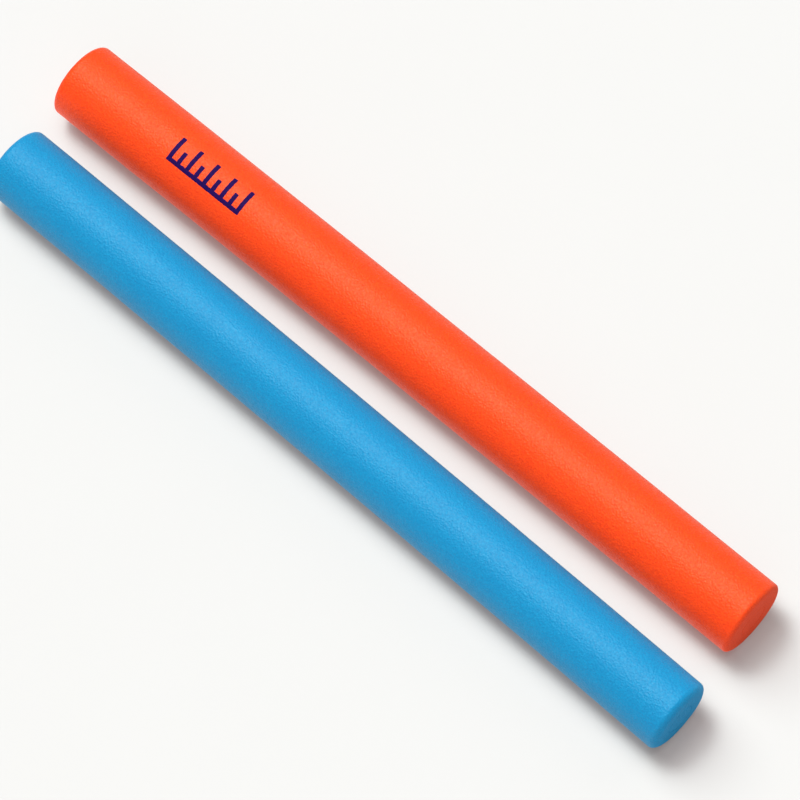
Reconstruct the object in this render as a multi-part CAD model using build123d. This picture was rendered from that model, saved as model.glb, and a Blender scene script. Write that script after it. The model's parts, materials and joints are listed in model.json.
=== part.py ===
from build123d import *
import os

# A pair of foam focus training sticks, orange and blue, lying side by side on a flat surface.
# Each stick is a foam sleeve glued over a stiff plastic core tube. The core stops short of both
# ends, where a hard cap covers its edge and a foam plug closes the sleeve flush with the end face.
#
# Millimetres. +Z is up, the sticks lie along X, and the near ends are at +X. The origin is on the
# resting surface, under the middle of the pair's bounding box.

# Both sticks
STICK_LENGTH = 540.0
RIM_RADIUS = 3.5         # rounding of the sleeve's outer edge at both ends
CORE_DIAMETER = 20.0     # the core tube's outside, which is also the sleeve's bore
CORE_WALL = 2.0
PLUG_LENGTH = 22.0       # foam between the core cap and the end face
CAP_HEAD = 4.0           # thickness of the cap's head, over the end of the tube
CAP_EDGE = 1.5           # rounding of the head's outer edge
CAP_SPIGOT = 14.0        # how far the cap reaches into the tube
CAP_CUP = 10.0           # depth of the cup that makes the spigot hollow
CAP_WALL = 1.8

# Each stick: its diameter, and where it lies beside the orange one
STICKS = {
    "orange": {"diameter": 50.0, "forward": 0.0, "aside": 0.0, "turn": 0.0},
    "blue": {"diameter": 48.0, "forward": 8.0, "aside": -71.5, "turn": -0.8},
}
ENDS = {"near": 1, "far": -1}

CORE_LENGTH = STICK_LENGTH - 2 * (PLUG_LENGTH + CAP_HEAD)
CORE_BORE = CORE_DIAMETER - 2 * CORE_WALL


def rod(diameter, start, end):
    """A round bar along X, from start to end."""
    length = end - start
    middle = Plane(origin=((start + end) / 2, 0, 0), z_dir=(1, 0, 0))
    return middle * Cylinder(diameter / 2, length)


def end_edges(solid, x):
    """The round edges of a solid at one place along X."""
    return [edge for edge in solid.edges() if abs(edge.center().X - x) < 0.01]


def foam_sleeve(diameter):
    half = STICK_LENGTH / 2
    bar = rod(diameter, -half, half)
    bar = fillet(end_edges(bar, -half) + end_edges(bar, half), RIM_RADIUS)
    return bar - rod(CORE_DIAMETER, -half, half)


def core_tube():
    half = CORE_LENGTH / 2
    return rod(CORE_DIAMETER, -half, half) - rod(CORE_BORE, -half, half)


def core_cap():
    """The cap at the +X end of the core: a rounded head, and a cup that plugs into the tube."""
    seat = CORE_LENGTH / 2
    top = seat + CAP_HEAD
    head = rod(CORE_DIAMETER, seat, top)
    head = fillet(end_edges(head, top), CAP_EDGE)
    spigot = rod(CORE_BORE, seat - CAP_SPIGOT, seat)
    cup = rod(CORE_BORE - 2 * CAP_WALL, seat - CAP_SPIGOT, seat - CAP_SPIGOT + CAP_CUP)
    return head + spigot - cup


def end_plug():
    """The foam plug at the +X end, from the core cap to the end face."""
    half = STICK_LENGTH / 2
    return rod(CORE_DIAMETER, half - PLUG_LENGTH, half)


def stick_pieces(diameter):
    """One stick's pieces, centred on the origin along X."""
    pieces = {"foam_sleeve": foam_sleeve(diameter), "core_tube": core_tube()}
    for end, sign in ENDS.items():
        turned = Rot(0, 0, 0 if sign > 0 else 180)
        pieces[f"{end}_core_cap"] = turned * core_cap()
        pieces[f"{end}_end_plug"] = turned * end_plug()
    return pieces


def laid_down(stick):
    """Where a stick lies: resting on Z = 0, measured from the middle of the orange one."""
    return Pos(stick["forward"], stick["aside"], stick["diameter"] / 2) * Rot(0, 0, stick["turn"])


nodes = {}
for colour, stick in STICKS.items():
    for name, piece in stick_pieces(stick["diameter"]).items():
        nodes[f"{colour}_{name}"] = laid_down(stick) * piece

middle = Compound([nodes[f"{colour}_foam_sleeve"] for colour in STICKS]).bounding_box().center()
origin = Pos(-middle.X, -middle.Y, 0)

os.makedirs("parts", exist_ok=True)
for name, piece in nodes.items():
    export_step(origin * piece, f"parts/{name}.step")
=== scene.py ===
import json
import math

import bmesh
import bpy
from mathutils import Matrix, Vector, noise


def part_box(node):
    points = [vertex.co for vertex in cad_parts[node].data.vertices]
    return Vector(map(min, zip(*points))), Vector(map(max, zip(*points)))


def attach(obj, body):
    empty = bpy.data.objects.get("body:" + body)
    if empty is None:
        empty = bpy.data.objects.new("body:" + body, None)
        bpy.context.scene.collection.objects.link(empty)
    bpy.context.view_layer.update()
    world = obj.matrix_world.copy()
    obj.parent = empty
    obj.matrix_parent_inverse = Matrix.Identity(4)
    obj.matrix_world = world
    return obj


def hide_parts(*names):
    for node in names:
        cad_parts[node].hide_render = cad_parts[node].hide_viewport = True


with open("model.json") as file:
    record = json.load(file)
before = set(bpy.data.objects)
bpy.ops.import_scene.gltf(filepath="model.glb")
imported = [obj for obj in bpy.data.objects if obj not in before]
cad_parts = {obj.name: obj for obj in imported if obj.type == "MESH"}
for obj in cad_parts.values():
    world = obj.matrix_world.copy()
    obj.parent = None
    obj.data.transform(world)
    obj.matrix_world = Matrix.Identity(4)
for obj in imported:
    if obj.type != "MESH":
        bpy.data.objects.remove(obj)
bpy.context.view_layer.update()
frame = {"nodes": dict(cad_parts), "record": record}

MM = 0.001
UP = Vector((0, 0, 1))
COLOURS = ("orange", "blue")
ENDS = {"near": 1, "far": -1}     # each end's side along its stick's axis

# The camera looks at a point between the sticks, a little nearer than the orange stick's middle
VIEW_AZIMUTH = 41.5
VIEW_ELEVATION = 66.2
VIEW_DISTANCE = 3.413
VIEW_FORWARD = 20.8 * MM
VIEW_ASIDE = -31.9 * MM
LENS_MM = 257.0
SENSOR_MM = 36

# Mesh steps: the foam's quads are about 1 mm wide
AROUND = 176
ALONG = 440
RIM_STEPS = 14
FACE_STEPS = 7
BORE_STEPS = 8
JOINT_STEPS = 3

# The foam's shape
BOW = 0.9 * MM                # how far the middle of a stick stands aside of its ends
PRESSED_FLAT = 0.15 * MM      # how much its own weight flattens it on the floor
LIFT_CLEAR = 0.0075 * MM      # how far the flattened foam stays off the floor
JOINT_ROUNDING = 0.35 * MM    # the edges that meet where a plug closes the bore
JOINT_GAP = 0.06 * MM
CROWN = 1.65                  # how much wider than deep the rounding of an end face is
RIM_SOFTNESS = {              # each rim's depth, as a share of the CAD model's
    "orange": {"near": 0.78, "far": 1.2},
    "blue": {"near": 1.2, "far": 1.2},
}

# Unevenness, each as (height, size of its lumps)
SKIN_RELIEF = (
    (0.17 * MM, 75 * MM),     # thickness
    (0.035 * MM, 17 * MM),    # dents
    (0.01 * MM, 2.6 * MM),    # pebbles
)
CUT_RELIEF = (
    (0.22 * MM, 19 * MM),     # waves that the knife left
    (0.05 * MM, 2.2 * MM),    # open cells
)

# The printed gauge on the orange stick
GAUGE_PLACE = -156 * MM       # from the middle of the stick
GAUGE_TURN = math.radians(12)  # from the top of the stick, towards the blue one
GAUGE_LENGTH = 58 * MM
GAUGE_HEIGHT = 17.5 * MM
GAUGE_TICKS = 9
SHORT_TICK = 0.6              # its height, as a share of a long tick's
INK_WIDTH = 2.9 * MM
INK_LIFT = 0.08 * MM          # how far the ink's top stands off the foam
INK_EDGE_DROP = 0.8           # the share of that height that it loses at its edges
INK_DEPTH = 0.25 * MM         # how far its closed underside lies in the foam
INK_STEP = 0.45 * MM
INK_ROUNDING = 0.35           # its corners' radius, as a share of a bar's half width
INK_ROUGH_EDGE = 0.22 * MM
INK_ROUGH_SIZE = 1.6 * MM

FLOOR_HALF_SIZE = 6.0


# ---------------------------------------------------------------- places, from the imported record

def mount(name):
    return next(m for m in frame["record"]["mounts"] if m["name"] == name)


class Stick:
    """One stick's place and size. Its own frame has X along its axis to the near end, and Z up."""

    def __init__(self, colour):
        outside = mount(f"{colour}_outside")
        near_end = Vector(mount(f"{colour}_near_end")["pos_m"])
        self.colour = colour
        self.body = f"{colour}_stick"
        self.middle = Vector(outside["pos_m"])
        self.axis = Vector(outside["axis"]).normalized()
        self.radius = outside["dims"]["r_mm"] * MM
        self.half = (near_end - self.middle).dot(self.axis)
        self.rim = self.half - outside["dims"]["length_mm"] * MM / 2
        low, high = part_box(f"{colour}_core_tube")
        self.bore = (high.z - low.z) / 2
        low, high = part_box(f"{colour}_near_end_plug")
        self.plug_length = (high.x - low.x - 2 * self.bore * abs(self.axis.y)) / self.axis.x
        self.seed = Vector((3.1, 7.7, 1.9)) * (1 + COLOURS.index(colour))
        side = UP.cross(self.axis)
        turn = Matrix((self.axis, side, UP)).transposed().to_4x4()
        self.matrix = Matrix.Translation(self.middle) @ turn


sticks = {colour: Stick(colour) for colour in COLOURS}


# ---------------------------------------------------------------- foam surface

def ripple(stick, place, size):
    """Smooth noise from about -1 to 1, with lumps of that size."""
    return noise.noise((place + stick.seed) / size)


def relief(stick, place, layers):
    """How far the foam stands off a true cylinder or plane at a place."""
    return sum(height * ripple(stick, place, size) for height, size in layers)


def settle(stick, place):
    """From the stick's own frame to the row frame: slightly bowed about its axis, and lying on the
    floor, which presses the foam flat."""
    along = place.x / stick.half
    bowed = place + Vector((0, BOW * (0.5 - along * along), 0))
    lowered = stick.matrix @ bowed - UP * PRESSED_FLAT
    return Vector((lowered.x, lowered.y, max(lowered.z, LIFT_CLEAR)))


# ---------------------------------------------------------------- turned shapes

def arc(centre_x, centre_r, deep, wide, start, stop, steps):
    """Profile points along an elliptical arc, deep along X and wide along R, each as (x, r, outward
    x, outward r). Angles are in degrees, from +X to +R."""
    points = []
    for i in range(steps + 1):
        angle = math.radians(start + (stop - start) * i / steps)
        x, r = math.cos(angle), math.sin(angle)
        out_x, out_r = Vector((x / deep, r / wide)).normalized()
        points.append((centre_x + deep * x, centre_r + wide * r, out_x, out_r))
    return points


def face(x, start_r, stop_r, steps):
    """Profile points across a flat end, without its two edges."""
    width = stop_r - start_r
    return [(x, start_r + width * i / steps, 1.0, 0.0) for i in range(1, steps)]


def wall(start_x, stop_x, r, out_r, steps):
    """Profile points along a straight wall, without its two ends."""
    length = stop_x - start_x
    return [(start_x + length * i / steps, r, 0.0, out_r) for i in range(1, steps)]


def flipped(points):
    """A +X end's profile as the -X end's, in the opposite order."""
    return [(-x, r, -out_x, out_r) for x, r, out_x, out_r in reversed(points)]


def revolve(name, stick, profile, shift, closed):
    """Turns a profile round the stick's axis. shift(place, out) moves each point in the stick's
    frame. A profile that isn't closed starts and ends on the axis."""
    mesh = bmesh.new()
    rings = []
    for x, r, out_x, out_r in profile:
        if r == 0:
            place = Vector((x, 0, 0))
            moved = shift(place, Vector((out_x, 0, 0)))
            rings.append([mesh.verts.new(settle(stick, moved))])
            continue
        ring = []
        for i in range(AROUND):
            turn = math.tau * i / AROUND
            spoke = Vector((0, math.sin(turn), math.cos(turn)))
            place = Vector((x, 0, 0)) + spoke * r
            out = Vector((out_x, 0, 0)) + spoke * out_r
            ring.append(mesh.verts.new(settle(stick, shift(place, out))))
        rings.append(ring)
    last = len(rings) if closed else len(rings) - 1
    for k in range(last):
        a, b = rings[k], rings[(k + 1) % len(rings)]
        for i in range(AROUND):
            j = (i + 1) % AROUND
            corners = [a[i % len(a)], a[j % len(a)], b[j % len(b)], b[i % len(b)]]
            made = mesh.faces.new(list(dict.fromkeys(corners)))
            made.smooth = True
    bmesh.ops.recalc_face_normals(mesh, faces=mesh.faces)
    return finished(name, mesh)


def finished(name, mesh):
    """An object from a bmesh, in the scene."""
    data = bpy.data.meshes.new(name)
    mesh.to_mesh(data)
    mesh.free()
    piece = bpy.data.objects.new(name, data)
    bpy.context.scene.collection.objects.link(piece)
    return piece


def sleeve_end(stick, end):
    """The sleeve's profile at one end as if it were the +X end: bore edge, cut face and rim."""
    rim = stick.rim * RIM_SOFTNESS[stick.colour][end]
    crown = rim * CROWN
    edge = JOINT_ROUNDING
    inner = arc(stick.half - edge, stick.bore + edge, edge, edge, -90, 0, JOINT_STEPS)
    flat = face(stick.half, stick.bore + edge, stick.radius - crown, FACE_STEPS)
    outer = arc(stick.half - rim, stick.radius - crown, rim, crown, 0, 90, RIM_STEPS)
    return inner + flat + outer


def foam_sleeve(stick, finish):
    near, far = sleeve_end(stick, "near"), flipped(sleeve_end(stick, "far"))
    skin_wall = wall(near[-1][0], far[0][0], stick.radius, 1.0, ALONG)
    bore_wall = wall(far[-1][0], near[0][0], stick.bore, -1.0, BORE_STEPS)
    profile = near + skin_wall + far + bore_wall

    def shift(place, out):
        in_the_bore = place.yz.length < stick.radius / 2 and out.x * out.x < 0.99
        if in_the_bore:
            return place
        skinned = 1 - abs(out.x)
        skin = relief(stick, place, SKIN_RELIEF)
        cut = relief(stick, place, CUT_RELIEF)
        return place + out * (skinned * skin + (1 - skinned) * cut)

    piece = revolve(f"{stick.colour}_foam", stick, profile, shift, True)
    piece.data.materials.append(finish)
    return piece


def end_plug(stick, end, finish):
    """A foam plug whose face is cut flush with the sleeve's, a hair smaller than the bore."""
    sign = ENDS[end]
    radius = stick.bore - JOINT_GAP
    edge = JOINT_ROUNDING
    seat = stick.half - stick.plug_length
    outside = [(stick.half, 0, 1.0, 0.0)]
    outside += face(stick.half, 0, radius - edge, FACE_STEPS)
    outside += arc(stick.half - edge, radius - edge, edge, edge, 0, 90, JOINT_STEPS)
    outside += wall(stick.half - edge, seat, radius, 1.0, BORE_STEPS)
    inside = [(seat, radius, 0.0, 1.0), (seat, radius / 2, -1.0, 0.0), (seat, 0, -1.0, 0.0)]
    profile = [(sign * x, r, sign * out_x, out_r) for x, r, out_x, out_r in outside + inside]

    def shift(place, out):
        on_the_face = sign * out.x >= 0.5
        if not on_the_face:
            return place
        return place + out * relief(stick, place, CUT_RELIEF)

    piece = revolve(f"{stick.colour}_{end}_plug", stick, profile, shift, False)
    piece.data.materials.append(finish)
    return piece


# ---------------------------------------------------------------- printed gauge

def ink_surface(stick, along, around, lift):
    """A point on the printed side: along the axis, and around from the gauge's middle line."""
    turn = around / stick.radius - GAUGE_TURN
    spoke = Vector((0, math.sin(turn), math.cos(turn)))
    place = Vector((along, 0, 0)) + spoke * stick.radius
    return settle(stick, place + spoke * (relief(stick, place, SKIN_RELIEF) + lift))


def ink_bar(mesh, stick, low, high, seed):
    """One printed bar between two corners (along, around). Its edges are rounded and a bit rough."""
    middle = [(low[k] + high[k]) / 2 for k in (0, 1)]
    half = [(high[k] - low[k]) / 2 for k in (0, 1)]
    steps = [max(2, round(2 * h / INK_STEP)) for h in half]
    layers = []
    for lift in (INK_LIFT, -INK_DEPTH):
        grid = []
        for i in range(steps[0] + 1):
            row = []
            for j in range(steps[1] + 1):
                u, v = 2 * i / steps[0] - 1, 2 * j / steps[1] - 1
                a, b = rounded(u * half[0], v * half[1], half)
                wobble = Vector((a, b, seed)) / INK_ROUGH_SIZE
                outward = max(abs(u), abs(v))
                reach = outward ** 3 * INK_ROUGH_EDGE
                a += reach * noise.noise(wobble)
                b += reach * noise.noise(wobble + Vector((9, 9, 9)))
                at_the_edge = lift > 0 and outward > 0.999
                height = lift - (INK_LIFT * INK_EDGE_DROP if at_the_edge else 0)
                row.append(mesh.verts.new(
                    ink_surface(stick, middle[0] + a, middle[1] + b, height)))
            grid.append(row)
        layers.append(grid)
    skin_grids(mesh, *layers)


def rounded(a, b, half):
    """Pulls a point of a rectangle in where its corners are rounded."""
    corner = min(half) * INK_ROUNDING
    over_a, over_b = abs(a) - (half[0] - corner), abs(b) - (half[1] - corner)
    if over_a <= 0 or over_b <= 0:
        return a, b
    reach = math.hypot(over_a, over_b)
    fit = max(over_a, over_b) / reach
    new_a = (half[0] - corner + over_a * fit) * math.copysign(1, a)
    new_b = (half[1] - corner + over_b * fit) * math.copysign(1, b)
    return new_a, new_b


def skin_grids(mesh, top, under):
    """Faces over two grids and round their edge, as one closed sheet."""
    rows, columns = len(top) - 1, len(top[0]) - 1
    for i in range(rows):
        for j in range(columns):
            for grid in (top, under):
                mesh.faces.new((grid[i][j], grid[i + 1][j], grid[i + 1][j + 1], grid[i][j + 1]))
    border = [(i, 0) for i in range(rows)] + [(rows, j) for j in range(columns)]
    border += [(i, columns) for i in range(rows, 0, -1)]
    border += [(0, j) for j in range(columns, 0, -1)]
    for k, (i, j) in enumerate(border):
        m, n = border[(k + 1) % len(border)]
        mesh.faces.new((top[i][j], top[m][n], under[m][n], under[i][j]))


def printed_gauge(stick, ink):
    """A plain scale, printed in one colour: a base line with long and short ticks in turn."""
    mesh = bmesh.new()
    left, base = GAUGE_PLACE - GAUGE_LENGTH / 2, -GAUGE_HEIGHT / 2
    ink_bar(mesh, stick, (left, base), (left + GAUGE_LENGTH, base + INK_WIDTH), 0)
    pitch = (GAUGE_LENGTH - INK_WIDTH) / (GAUGE_TICKS - 1)
    for i in range(GAUGE_TICKS):
        start = left + i * pitch
        reach = GAUGE_HEIGHT if i % 2 == 0 else GAUGE_HEIGHT * SHORT_TICK
        foot = base + INK_WIDTH * 0.9
        ink_bar(mesh, stick, (start, foot), (start + INK_WIDTH, base + reach), i + 1)
    bmesh.ops.recalc_face_normals(mesh, faces=mesh.faces)
    for made in mesh.faces:
        made.smooth = True
    piece = finished("printed_gauge", mesh)
    piece.data.materials.append(ink)
    return piece


# ---------------------------------------------------------------- materials

def shade(red, green, blue):
    """A display colour, 0 to 255 a channel, as the linear colour that a shader takes."""
    linear = []
    for value in (red, green, blue):
        share = value / 255
        linear.append(share / 12.92 if share <= 0.04045 else ((share + 0.055) / 1.055) ** 2.4)
    return (*linear, 1.0)


class Nodes:
    """A material's node tree, with short calls that add a node and link its inputs."""

    def __init__(self, name):
        self.material = bpy.data.materials.new(name)
        self.material.use_nodes = True
        self.tree = self.material.node_tree
        self.tree.nodes.clear()
        self.place = self.add("ShaderNodeTexCoord").outputs["Object"]

    def add(self, kind, settings=None, **inputs):
        made = self.tree.nodes.new(kind)
        for key, value in (settings or {}).items():
            setattr(made, key, value)
        for key, value in inputs.items():
            socket = made.inputs[key.replace("_", " ")]
            if isinstance(value, bpy.types.NodeSocket):
                self.tree.links.new(value, socket)
            else:
                socket.default_value = value
        return made

    def noise(self, size, detail=2.0, roughness=0.5):
        """Noise with lumps of that size, from 0 to 1."""
        made = self.add("ShaderNodeTexNoise", None, Vector=self.place, Scale=1 / size,
                        Detail=detail, Roughness=roughness)
        return made.outputs["Fac"]

    def cells(self, size, softness=0.6):
        """The distance from the middle of round cells of that size."""
        made = self.add("ShaderNodeTexVoronoi", {"feature": "SMOOTH_F1"}, Vector=self.place,
                        Scale=1 / size, Smoothness=softness)
        return made.outputs["Distance"]

    def between(self, value, low, high):
        """Maps 0.3 to 0.7, which is most of a noise, to low to high."""
        made = self.add("ShaderNodeMapRange", None, Value=value, From_Min=0.3, From_Max=0.7,
                        To_Min=low, To_Max=high)
        return made.outputs["Result"]

    def blend(self, share, first, second):
        """A mix of two numbers."""
        made = self.add("ShaderNodeMapRange", None, Value=share, To_Min=first, To_Max=second)
        return made.outputs["Result"]

    def end_share(self, stick):
        """0 on a stick's side, rising round the rim to 1 on both end faces."""
        from_middle = self.add("ShaderNodeVectorMath", {"operation": "SUBTRACT"})
        self.tree.links.new(self.place, from_middle.inputs[0])
        from_middle.inputs[1].default_value = stick.middle
        along = self.add("ShaderNodeVectorMath", {"operation": "DOT_PRODUCT"})
        self.tree.links.new(from_middle.outputs["Vector"], along.inputs[0])
        along.inputs[1].default_value = stick.axis
        reach = self.add("ShaderNodeMath", {"operation": "ABSOLUTE"})
        self.tree.links.new(along.outputs["Value"], reach.inputs[0])
        made = self.add("ShaderNodeMapRange", {"interpolation_type": "SMOOTHSTEP"},
                        Value=reach.outputs["Value"],
                        From_Min=stick.half - stick.rim, From_Max=stick.half)
        return made.outputs["Result"]

    def mix(self, share, first, second):
        """A mix of two colours."""
        made = self.add("ShaderNodeMix", {"data_type": "RGBA"})
        for index, value in ((0, share), (6, first), (7, second)):
            socket = made.inputs[index]
            if isinstance(value, bpy.types.NodeSocket):
                self.tree.links.new(value, socket)
            else:
                socket.default_value = value
        return made.outputs[2]

    def bump(self, height, depth, strength=1.0, under=None):
        """Relief of that depth, on top of another relief if there is one under it."""
        made = self.add("ShaderNodeBump", None, Height=height, Distance=depth, Strength=strength)
        if under is not None:
            self.tree.links.new(under, made.inputs["Normal"])
        return made.outputs["Normal"]

    def surface(self, **inputs):
        shader = self.add("ShaderNodeBsdfPrincipled", None, **inputs)
        out = self.add("ShaderNodeOutputMaterial")
        self.tree.links.new(shader.outputs["BSDF"], out.inputs["Surface"])
        return self.material


def foam(name, stick, skin, cut, sheen):
    """Closed-cell foam. Its moulded skin has fine pebbles, a faint mottle and a dull broad sheen.
    Round the rim it gives way to the cut face: open cells, a little darker and duller."""
    nodes = Nodes(name)
    face_share = nodes.end_share(stick)
    mottle = nodes.between(nodes.noise(26 * MM, 3), 0.0, 0.6)
    fleck = nodes.between(nodes.noise(1.1 * MM, 2, 0.6), 0.0, 1.0)
    skin_colour = nodes.mix(fleck, nodes.mix(mottle, skin["plain"], skin["pale"]), skin["deep"])
    cell = nodes.cells(0.9 * MM, 0.3)
    cut_colour = nodes.mix(nodes.between(cell, 0.0, 1.0), cut["deep"], cut["plain"])
    pebble = nodes.bump(nodes.cells(1.25 * MM), 0.3 * MM)
    grain = nodes.bump(nodes.noise(0.85 * MM, 2, 0.6), 0.18 * MM, under=pebble)
    roughness = nodes.between(nodes.noise(1.2 * MM, 2), 0.42, 0.6)
    return nodes.surface(
        Base_Color=nodes.mix(face_share, skin_colour, cut_colour),
        Roughness=nodes.blend(face_share, roughness, 0.85),
        Specular_IOR_Level=0.52,
        Specular_Tint=sheen,
        Normal=grain,
    )


def printing_ink():
    """Screen-printing ink, thin over the foam's pebbles."""
    nodes = Nodes("indigo_ink")
    thin = nodes.between(nodes.noise(1.1 * MM, 3, 0.6), 0.0, 1.0)
    base = nodes.mix(thin, shade(26, 0, 68), shade(38, 2, 94))
    skin = nodes.bump(nodes.cells(1.5 * MM), 0.1 * MM, 0.4)
    return nodes.surface(
        Base_Color=base,
        Roughness=nodes.between(nodes.noise(2 * MM, 2), 0.6, 0.75),
        Specular_IOR_Level=0.12,
        Normal=skin,
    )


def drawn_plastic():
    """Extruded tube: long faint draw lines along the axis."""
    nodes = Nodes("core_plastic_finish")
    stretched = nodes.add("ShaderNodeMapping", None, Vector=nodes.place, Scale=(0.03, 1, 1))
    lines = nodes.add("ShaderNodeTexNoise", None, Vector=stretched.outputs["Vector"],
                      Scale=1 / (0.6 * MM), Detail=2.0).outputs["Fac"]
    base = nodes.mix(nodes.between(nodes.noise(9 * MM), 0.0, 1.0),
                     shade(226, 226, 220), shade(212, 212, 206))
    return nodes.surface(
        Base_Color=base,
        Roughness=nodes.between(lines, 0.38, 0.5),
        Normal=nodes.bump(lines, 0.02 * MM, 0.4),
    )


def moulded_plastic():
    """The caps: moulded with a fine spark-eroded texture."""
    nodes = Nodes("cap_plastic_finish")
    grain = nodes.noise(0.35 * MM, 2)
    base = nodes.mix(nodes.between(nodes.noise(5 * MM), 0.0, 1.0),
                     shade(38, 38, 41), shade(48, 48, 51))
    return nodes.surface(
        Base_Color=base,
        Roughness=nodes.between(grain, 0.5, 0.6),
        Normal=nodes.bump(grain, 0.02 * MM, 0.5),
    )


# ---------------------------------------------------------------- the sticks

FOAMS = {
    "orange": foam(
        "orange_foam_finish", sticks["orange"],
        skin={
            "plain": shade(251, 78, 8), "deep": shade(238, 58, 3), "pale": shade(255, 84, 12),
        },
        cut={"plain": shade(246, 73, 19), "deep": shade(231, 58, 13)},
        sheen=(1.0, 0.85, 0.6, 1.0),
    ),
    "blue": foam(
        "blue_foam_finish", sticks["blue"],
        skin={
            "plain": shade(2, 151, 206), "deep": shade(1, 133, 191), "pale": shade(4, 158, 211),
        },
        cut={"plain": shade(1, 152, 210), "deep": shade(1, 136, 196)},
        sheen=(0.68, 1.0, 1.0, 1.0),
    ),
}
TUBE_FINISH = drawn_plastic()
CAP_FINISH = moulded_plastic()


def show_foam(piece, stick, node):
    """Puts a foam piece in its CAD node's place, on its stick."""
    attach(piece, stick.body)
    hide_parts(node)
    foams[stick.colour].append(piece)


def refinish(node, finish):
    """Gives a CAD node's own mesh a better material."""
    materials = frame["nodes"][node].data.materials
    materials.clear()
    materials.append(finish)


foams = {colour: [] for colour in COLOURS}
for colour, stick in sticks.items():
    show_foam(foam_sleeve(stick, FOAMS[colour]), stick, f"{colour}_foam_sleeve")
    refinish(f"{colour}_core_tube", TUBE_FINISH)
    for end in ENDS:
        show_foam(end_plug(stick, end, FOAMS[colour]), stick, f"{colour}_{end}_end_plug")
        refinish(f"{colour}_{end}_core_cap", CAP_FINISH)

gauge = printed_gauge(sticks["orange"], printing_ink())
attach(gauge, sticks["orange"].body)


# ---------------------------------------------------------------- floor, light and camera

def floor():
    """The studio's pale backdrop. Its own faint glow keeps the shadows as light as they are."""
    mesh = bmesh.new()
    bmesh.ops.create_grid(mesh, x_segments=2, y_segments=2, size=FLOOR_HALF_SIZE)
    piece = finished("floor", mesh)
    nodes = Nodes("pale_floor")
    paper = nodes.mix(nodes.noise(120 * MM), shade(143, 138, 137), shade(144, 139, 138))
    piece.data.materials.append(nodes.surface(
        Base_Color=paper,
        Roughness=0.9,
        Specular_IOR_Level=0.2,
        # painted light: a warm glow of the floor's own, which lifts its shadows and warms them
        Emission_Color=(1.0, 0.88, 0.84, 1.0),
        Emission_Strength=0.165,
    ))
    return piece


def sun(name, azimuth, elevation, strength, softness, tint=(1, 1, 1)):
    """A distant soft light. Azimuth is the side it comes from: 0 is +X, and 90 is +Y. Softness is
    its width in degrees."""
    lamp = bpy.data.lights.new(name, "SUN")
    lamp.energy = strength
    lamp.angle = math.radians(softness)
    lamp.color = tint
    holder = bpy.data.objects.new(name, lamp)
    side, up = math.radians(azimuth), math.radians(elevation)
    towards = Vector((math.cos(side) * math.cos(up), math.sin(side) * math.cos(up), math.sin(up)))
    holder.rotation_euler = towards.to_track_quat("Z", "Y").to_euler()
    bpy.context.scene.collection.objects.link(holder)
    return holder


def lit_only(lights, name, pieces):
    """Makes lights fall on those pieces alone, and returns the pieces' collection."""
    group = bpy.data.collections.new(name)
    for piece in pieces:
        group.objects.link(piece)
    for light in lights:
        light.light_linking.receiver_collection = group
    return group


def studio_world():
    """Even white light from all round, for the shadows."""
    world = bpy.data.worlds.new("studio")
    world.use_nodes = True
    background = world.node_tree.nodes["Background"]
    background.inputs["Color"].default_value = (1.0, 1.0, 1.0, 1)
    background.inputs["Strength"].default_value = 0.2
    bpy.context.scene.world = world


def studio_light(ground, warmed):
    """Soft lights from above, and two reflectors at the sides. As in a studio, three more lights fall
    on the backdrop alone, so that the sticks' colours hardly tint it. Two warm lights on the orange
    foam alone stand in for the glow between its lower side and the floor."""
    studio_world()
    sun("overhead_softbox", 0, 90, 1.3, 32)
    sun("key_softbox", 168, 68, 1.7, 28)
    for board in (sun("side_reflector", 95, 35, 0.5, 45), sun("front_reflector", -75, 40, 0.5, 60)):
        board.visible_glossy = False
    cool = (0.84, 1.0, 1.0)
    backdrop_lights = (
        sun("backdrop_softbox", 177, 50, 4.0, 39, cool),
        sun("backdrop_lamp", 178, 66, 1.85, 16, cool),
        sun("backdrop_fill", 190, 72, 0.9, 24, cool),
    )
    lit_only(backdrop_lights, "backdrop", [ground])
    bounce = sun("floor_bounce", -97, -42, 1.6, 60, (1.0, 0.42, 0.36))
    reflector = sun("warm_reflector", -97, 14, 0.75, 50, (1.0, 0.17, 0.1))
    group = lit_only((reflector, bounce), "warmed", warmed)
    bounce.light_linking.blocker_collection = group    # the floor doesn't stop it


def look_from(azimuth, elevation, distance, target):
    """A camera that stands that way from its target. Azimuth 0 is the -Y side, and 90 is +X."""
    side, up = math.radians(azimuth), math.radians(elevation)
    back = Vector((math.sin(side) * math.cos(up), -math.cos(side) * math.cos(up), math.sin(up)))
    data = bpy.data.cameras.new("camera")
    data.sensor_width = SENSOR_MM
    data.lens = LENS_MM
    data.clip_end = 20
    camera = bpy.data.objects.new("camera", data)
    camera.location = target + back * distance
    camera.rotation_euler = back.to_track_quat("Z", "Y").to_euler()
    bpy.context.scene.collection.objects.link(camera)
    bpy.context.scene.camera = camera


studio_light(floor(), foams["orange"])
look_from(VIEW_AZIMUTH, VIEW_ELEVATION, VIEW_DISTANCE,
          sticks["orange"].middle + Vector((VIEW_FORWARD, VIEW_ASIDE, 0)))
bpy.context.scene.view_settings.view_transform = "Standard"
